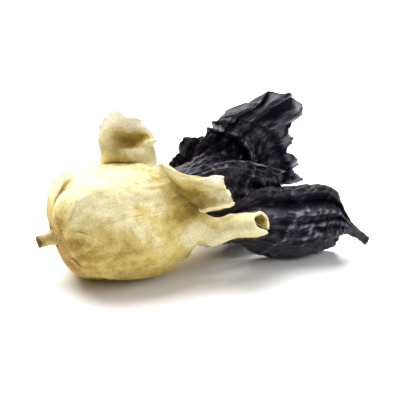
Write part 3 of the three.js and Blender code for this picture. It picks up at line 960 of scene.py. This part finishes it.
def make_hairs(name, carrier, count, hair, slot, seed):
    """Stars of short hairs all over the outer side of a felted piece."""
    shortest = 0.16
    longest = 0.42
    unevenness = 0.25
    draws = np.random.default_rng(seed)
    places, normals = scattered(carrier, count, draws)
    tuft = make_tuft()
    star = points_of(tuft)
    faces = [tuple(face.vertices) for face in tuft.data.polygons]
    spin = unit(np.cross(normals, draws.normal(size=normals.shape)))
    size = draws.uniform(shortest, longest, (count, 1, 1)) * MM
    lean = unit(normals + unevenness * draws.normal(size=normals.shape))
    spin = unit(np.cross(lean, spin))
    basis = np.stack([spin, np.cross(lean, spin), lean], axis=1)
    points = places[:, None] + size * np.einsum("kj,njm->nkm", star, basis)
    points[..., 2] = np.maximum(points[..., 2], 0)
    mesh = bpy.data.meshes.new(name)
    step = len(star)
    all_faces = [tuple(step * n + corner for corner in face) for n in range(count) for face in faces]
    mesh.from_pydata(points.reshape(-1, 3), [], all_faces)
    piece = bpy.data.objects.new(name, mesh)
    bpy.context.scene.collection.objects.link(piece)
    bpy.data.objects.remove(tuft)
    return dressed(piece, slot, None, hair)


# Materials

def paint(code):
    """A colour as the shader takes it, from its usual code."""
    parts = [(code >> shift & 255) / 255 for shift in (16, 8, 0)]
    return (*[c / 12.92 if c <= 0.04045 else ((c + 0.055) / 1.055) ** 2.4 for c in parts], 1)


def put(tree, kind, inputs=(), **settings):
    """Adds a node with its settings, and its inputs as values or as links from other nodes."""
    node = tree.nodes.new(kind)
    for name, value in settings.items():
        setattr(node, name, value)
    for name, value in dict(inputs).items():
        if isinstance(value, bpy.types.NodeSocket):
            tree.links.new(value, node.inputs[name])
        else:
            node.inputs[name].default_value = value
    return node


def mixed(tree, share, a, b, blend="MIX"):
    node = put(tree, "ShaderNodeMix", data_type="RGBA", blend_type=blend)
    sockets = {"Factor": node.inputs[0], "A": node.inputs[6], "B": node.inputs[7]}
    for name, value in (("Factor", share), ("A", a), ("B", b)):
        if isinstance(value, bpy.types.NodeSocket):
            tree.links.new(value, sockets[name])
        else:
            sockets[name].default_value = value
    return node.outputs[2]


def weighted(tree, start, *terms):
    """A start value plus every term's value times its weight."""
    total = start
    for value, weight in terms:
        inputs = {0: value, 1: weight, 2: total}
        total = put(tree, "ShaderNodeMath", inputs, operation="MULTIPLY_ADD").outputs[0]
    return total


def soft_noise(tree, place, scale, detail):
    inputs = {"Vector": place, "Scale": scale, "Detail": detail}
    return put(tree, "ShaderNodeTexNoise", inputs).outputs["Fac"]


def spread_out(tree, value, low, high, to_low=0.0, to_high=1.0):
    """Maps a range of a value smoothly onto another range, and holds it there."""
    inputs = {"Value": value, "From Min": low, "From Max": high, "To Min": to_low, "To Max": to_high}
    return put(tree, "ShaderNodeMapRange", inputs, interpolation_type="SMOOTHSTEP").outputs[0]


def new_group(name, inputs, outputs):
    """A shader node group with named sockets: colours where the default has four parts, else numbers."""
    tree = bpy.data.node_groups.new(name, "ShaderNodeTree")
    for socket, default in inputs.items():
        kind = "NodeSocketColor" if isinstance(default, tuple) else "NodeSocketFloat"
        tree.interface.new_socket(socket, in_out="INPUT", socket_type=kind).default_value = default
    for socket, kind in outputs.items():
        tree.interface.new_socket(socket, in_out="OUTPUT", socket_type=kind)
    return tree, tree.nodes.new("NodeGroupInput"), tree.nodes.new("NodeGroupOutput")


def felt_group():
    """Mottled felt: patches from a painted highlight white to deep, darker specks, and the matted hairs'
    height.
    """
    tree, given, out = new_group(
        "matted felt",
        {
            # The first colour is a near-white painted highlight, reached where painted light pushes the tone
            # lowest.
            "Painted highlight white": paint(0xFFFBEC),
            "Pale": paint(0xF0E8C4),
            "Middle": paint(0xD8C98C),
            "Deep": paint(0xA98B45),
            "Patch scale": 260.0,
            "Hair scale": 5200.0,
            "Deepen": 0.0,
        },
        {"Color": "NodeSocketColor", "Height": "NodeSocketFloat"},
    )
    place = put(tree, "ShaderNodeTexCoord").outputs["Object"]
    mottle_scale = weighted(tree, 0.0, (given.outputs["Patch scale"], 4.5))
    patches = soft_noise(tree, place, given.outputs["Patch scale"], 5.0)
    mottles = soft_noise(tree, place, mottle_scale, 6.0)
    matted = soft_noise(tree, place, given.outputs["Hair scale"], 4.0)
    tone = weighted(tree, 0.0, (patches, 0.55), (mottles, 0.45), (given.outputs["Deepen"], 0.28))
    color = given.outputs["Painted highlight white"]
    for darker, low, high in (("Pale", -0.1, 0.22), ("Middle", 0.36, 0.58), ("Deep", 0.56, 0.84)):
        color = mixed(tree, spread_out(tree, tone, low, high), color, given.outputs[darker])
    specks = spread_out(tree, matted, 0.3, 0.7, 0.84, 1.06)
    flecked = put(tree, "ShaderNodeCombineColor", {0: specks, 1: specks, 2: specks}).outputs[0]
    tree.links.new(mixed(tree, 1.0, color, flecked, "MULTIPLY"), out.inputs["Color"])
    tree.links.new(weighted(tree, matted, (mottles, 0.8)), out.inputs["Height"])
    return tree


def crepe_group():
    """Dried petal: a dark violet body, painted highlights on crests, glints and edges, paler streaks along
    the nerves, and a fine crepe.
    """
    tree, given, out = new_group(
        "petal crepe",
        {
            "Dark": paint(0x120E16),
            "Violet": paint(0x292434),
            # The pale colour stands for painted highlights on crests, glints and thin edges, and for the
            # streaks.
            "Pale": paint(0x827D8D),
            "Painted highlights": 0.0,
            "Edge": 0.0,
        },
        {"Color": "NodeSocketColor", "Height": "NodeSocketFloat", "Roughness": "NodeSocketFloat"},
    )
    place = put(tree, "ShaderNodeTexCoord").outputs
    drawn = put(tree, "ShaderNodeMapping", {"Vector": place["UV"], "Scale": (46.0, 7.0, 1.0)})
    streaks = soft_noise(tree, drawn.outputs[0], 1.0, 4.0)
    patches = soft_noise(tree, place["Object"], 420.0, 4.0)
    grain = soft_noise(tree, place["Object"], 4200.0, 3.0)
    violet = spread_out(tree, patches, 0.35, 0.65)
    body = mixed(tree, violet, given.outputs["Dark"], given.outputs["Violet"])
    # Painted highlights on crests, glints and the thin edges, with the streaks along the nerves, mixed
    # toward pale.
    painted_highlights = weighted(tree, given.outputs["Painted highlights"], (streaks, 0.5), (given.outputs["Edge"], 0.3))
    color = mixed(tree, spread_out(tree, painted_highlights, 0.75, 1.6), body, given.outputs["Pale"])
    tree.links.new(color, out.inputs["Color"])
    tree.links.new(weighted(tree, 0.0, (streaks, 1.2), (grain, 0.6)), out.inputs["Height"])
    tree.links.new(spread_out(tree, streaks, 0.3, 0.7, 0.32, 0.55), out.inputs["Roughness"])
    return tree


def new_material(name):
    material = bpy.data.materials.new(name)
    material.use_nodes = True
    tree = material.node_tree
    return material, tree, tree.nodes["Principled BSDF"]


def link_bump(tree, shader, height, strength, distance):
    bump = put(tree, "ShaderNodeBump", {"Height": height, "Strength": strength, "Distance": distance * MM})
    tree.links.new(bump.outputs[0], shader.inputs["Normal"])


def mask(tree, name):
    return put(tree, "ShaderNodeAttribute", attribute_name=name).outputs["Fac"]


def put_felt(tree, shader, group, pale, middle, deep, values):
    """Puts the felt's colour into a material, with its tones and other values, and gives its height."""
    inputs = {"Pale": paint(pale), "Middle": paint(middle), "Deep": paint(deep), **values}
    felt = put(tree, "ShaderNodeGroup", inputs, node_tree=group)
    tree.links.new(felt.outputs["Color"], shader.inputs["Base Color"])
    return felt.outputs["Height"]


def felt_material(name, group, pale, middle, deep, deepen, rim_painted_light=1.0, hair_depth=0.05):
    """Felt deeper by the stub and on veins, with painted shade in hollows, troughs and below, and painted
    highlights on crests and the rim.
    """
    material, tree, shader = new_material(name)
    # Painted light and shade: hollow and underside darken the felt as shade, crest pales it on wrinkle
    # crests and darkens it in their troughs, and rim pales it as a highlight.
    shade = weighted(
        tree,
        deepen,
        (mask(tree, "stub_side"), 0.9),
        (mask(tree, "vein"), 0.15),
        (mask(tree, "crest_painted_light"), -0.2),
        (mask(tree, "rim"), -rim_painted_light),
        (mask(tree, "hollow"), 1.5),
        (mask(tree, "painted_underside_shade"), 0.9),
    )
    height = put_felt(tree, shader, group, pale, middle, deep, {"Deepen": shade})
    link_bump(tree, shader, height, 0.7, hair_depth)
    shader.inputs["Roughness"].default_value = 0.88
    shader.inputs["Specular IOR Level"].default_value = 0.2
    shader.inputs["Sheen Weight"].default_value = 0.15
    shader.inputs["Sheen Roughness"].default_value = 0.6
    shader.inputs["Sheen Tint"].default_value = paint(0xF2E3A8)
    return material


def petal_material(group):
    material, tree, shader = new_material("dried petal")
    crepe = put(tree, "ShaderNodeGroup", node_tree=group)
    # The crest mask carries painted highlights on crests and glints, and the edge mask painted light at the
    # thin margin.
    tree.links.new(mask(tree, "crest_painted_light"), crepe.inputs["Painted highlights"])
    tree.links.new(mask(tree, "edge"), crepe.inputs["Edge"])
    tree.links.new(crepe.outputs["Color"], shader.inputs["Base Color"])
    tree.links.new(crepe.outputs["Roughness"], shader.inputs["Roughness"])
    shader.inputs["Specular IOR Level"].default_value = 0.38
    shader.inputs["Sheen Weight"].default_value = 0.1
    shader.inputs["Sheen Roughness"].default_value = 0.45
    shader.inputs["Sheen Tint"].default_value = paint(0xB9B4D6)
    link_bump(tree, shader, crepe.outputs["Height"], 0.6, 0.05)
    return material


def plain_fibre_material(name, group, pale, middle, deep, patch_scale):
    """Stalk, stamens and carpels: the felt's mottling, browned at a cut, and a little less matt."""
    material, tree, shader = new_material(name)
    browned = weighted(tree, 0.0, (mask(tree, "cut"), 2.0))
    values = {"Deepen": browned, "Patch scale": patch_scale}
    height = put_felt(tree, shader, group, pale, middle, deep, values)
    link_bump(tree, shader, height, 0.6, 0.05)
    shader.inputs["Roughness"].default_value = 0.75
    return material


def hair_material():
    material, _, shader = new_material("pale hairs")
    shader.inputs["Base Color"].default_value = paint(0xEADB9F)
    shader.inputs["Roughness"].default_value = 0.7
    return material


def floor_material():
    material, _, shader = new_material("pale floor")
    shader.inputs["Base Color"].default_value = paint(0xFBFAF9)
    shader.inputs["Roughness"].default_value = 0.8
    return material


# Stage

def make_floor():
    nothing_selected()
    bpy.ops.mesh.primitive_plane_add(size=4)
    floor = made("floor")
    floor.data.materials.append(floor_material())


def soft_light(name, place, target, size, power, colour):
    nothing_selected()
    bpy.ops.object.light_add(type="AREA", location=place)
    light = bpy.context.object
    light.name = name
    light.data.size = size
    light.data.energy = power
    light.data.color = colour
    light.rotation_euler = (Vector(target) - Vector(place)).to_track_quat("-Z", "Y").to_euler()


def make_lights():
    middle = Vector((0.012, 0, 0.007))
    soft_light("light_above", (-0.04, 0.24, 0.4), middle, size=0.5, power=6.1, colour=(1, 0.99, 0.97))
    soft_light("light_side", (0.3, -0.12, 0.2), middle, size=0.25, power=0.85, colour=(0.95, 0.97, 1))
    world = bpy.data.worlds.new("soft room")
    bpy.context.scene.world = world
    world.use_nodes = True
    backdrop = world.node_tree.nodes["Background"]
    backdrop.inputs["Color"].default_value = (0.94, 0.94, 1, 1)
    backdrop.inputs["Strength"].default_value = 0.1


def make_camera():
    """The photograph's viewing angle, through a long lens, with the flower filling most of the frame."""
    azimuth = math.radians(-18)
    elevation = math.radians(28)
    distance = 0.25
    back = Vector((
        math.sin(azimuth) * math.cos(elevation),
        -math.cos(azimuth) * math.cos(elevation),
        math.sin(elevation),
    ))
    target = Vector((0.0117, 0, 0.0073))
    nothing_selected()
    bpy.ops.object.camera_add(location=target + distance * back)
    camera = bpy.context.object
    camera.name = "camera"
    camera.rotation_euler = (-back).to_track_quat("-Z", "Y").to_euler()
    camera.data.lens = 200
    camera.data.clip_start = 0.01
    camera.data.clip_end = 10
    bpy.context.scene.camera = camera


bpy.context.scene.view_settings.view_transform = "Standard"
make_camera()
matted = felt_group()
calyx_felt = felt_material("calyx felt", matted, 0xF5EABA, 0xDDC67A, 0xB09342, deepen=-0.3)
# The lining's rims get less of the painted highlight than the outer felt, keeping the inside of the rolled
# lobe darker.
calyx_lining = felt_material(
    "calyx lining", matted, 0xE2D49C, 0xC0A862, 0x8C7038, deepen=0.4, rim_painted_light=0.4, hair_depth=0.03
)
bract_felt = felt_material("bract felt", matted, 0xF3E7B4, 0xDAC278, 0xA88440, deepen=-0.3)
stalk_fibre = plain_fibre_material("stalk fibre", matted, 0xE0CF95, 0xC2A35C, 0x6E4B22, 600)
stamen_paper = plain_fibre_material("stamen paper", matted, 0xE3D3AE, 0xC9AF80, 0x8E6F4A, 700)
carpel_skin = plain_fibre_material("carpel skin", matted, 0xC9B680, 0xA88D52, 0x6B5129, 500)
petal_crepe = petal_material(crepe_group())
pale_hairs = hair_material()

calyx = make_calyx(calyx_felt, calyx_lining)
whorl = make_bracts(bract_felt)
make_stub(stalk_fibre)
make_column(stamen_paper)
make_petals(petal_crepe)
make_hairs("calyx_hairs", calyx, count=2600, hair=pale_hairs, slot="calyx_felt", seed=SEED + 1)
make_hairs("bract_hairs", whorl, count=1200, hair=pale_hairs, slot="bract_felt", seed=SEED + 2)
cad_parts["ovary"].data.materials.clear()
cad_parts["ovary"].data.materials.append(carpel_skin)

make_floor()
make_lights()
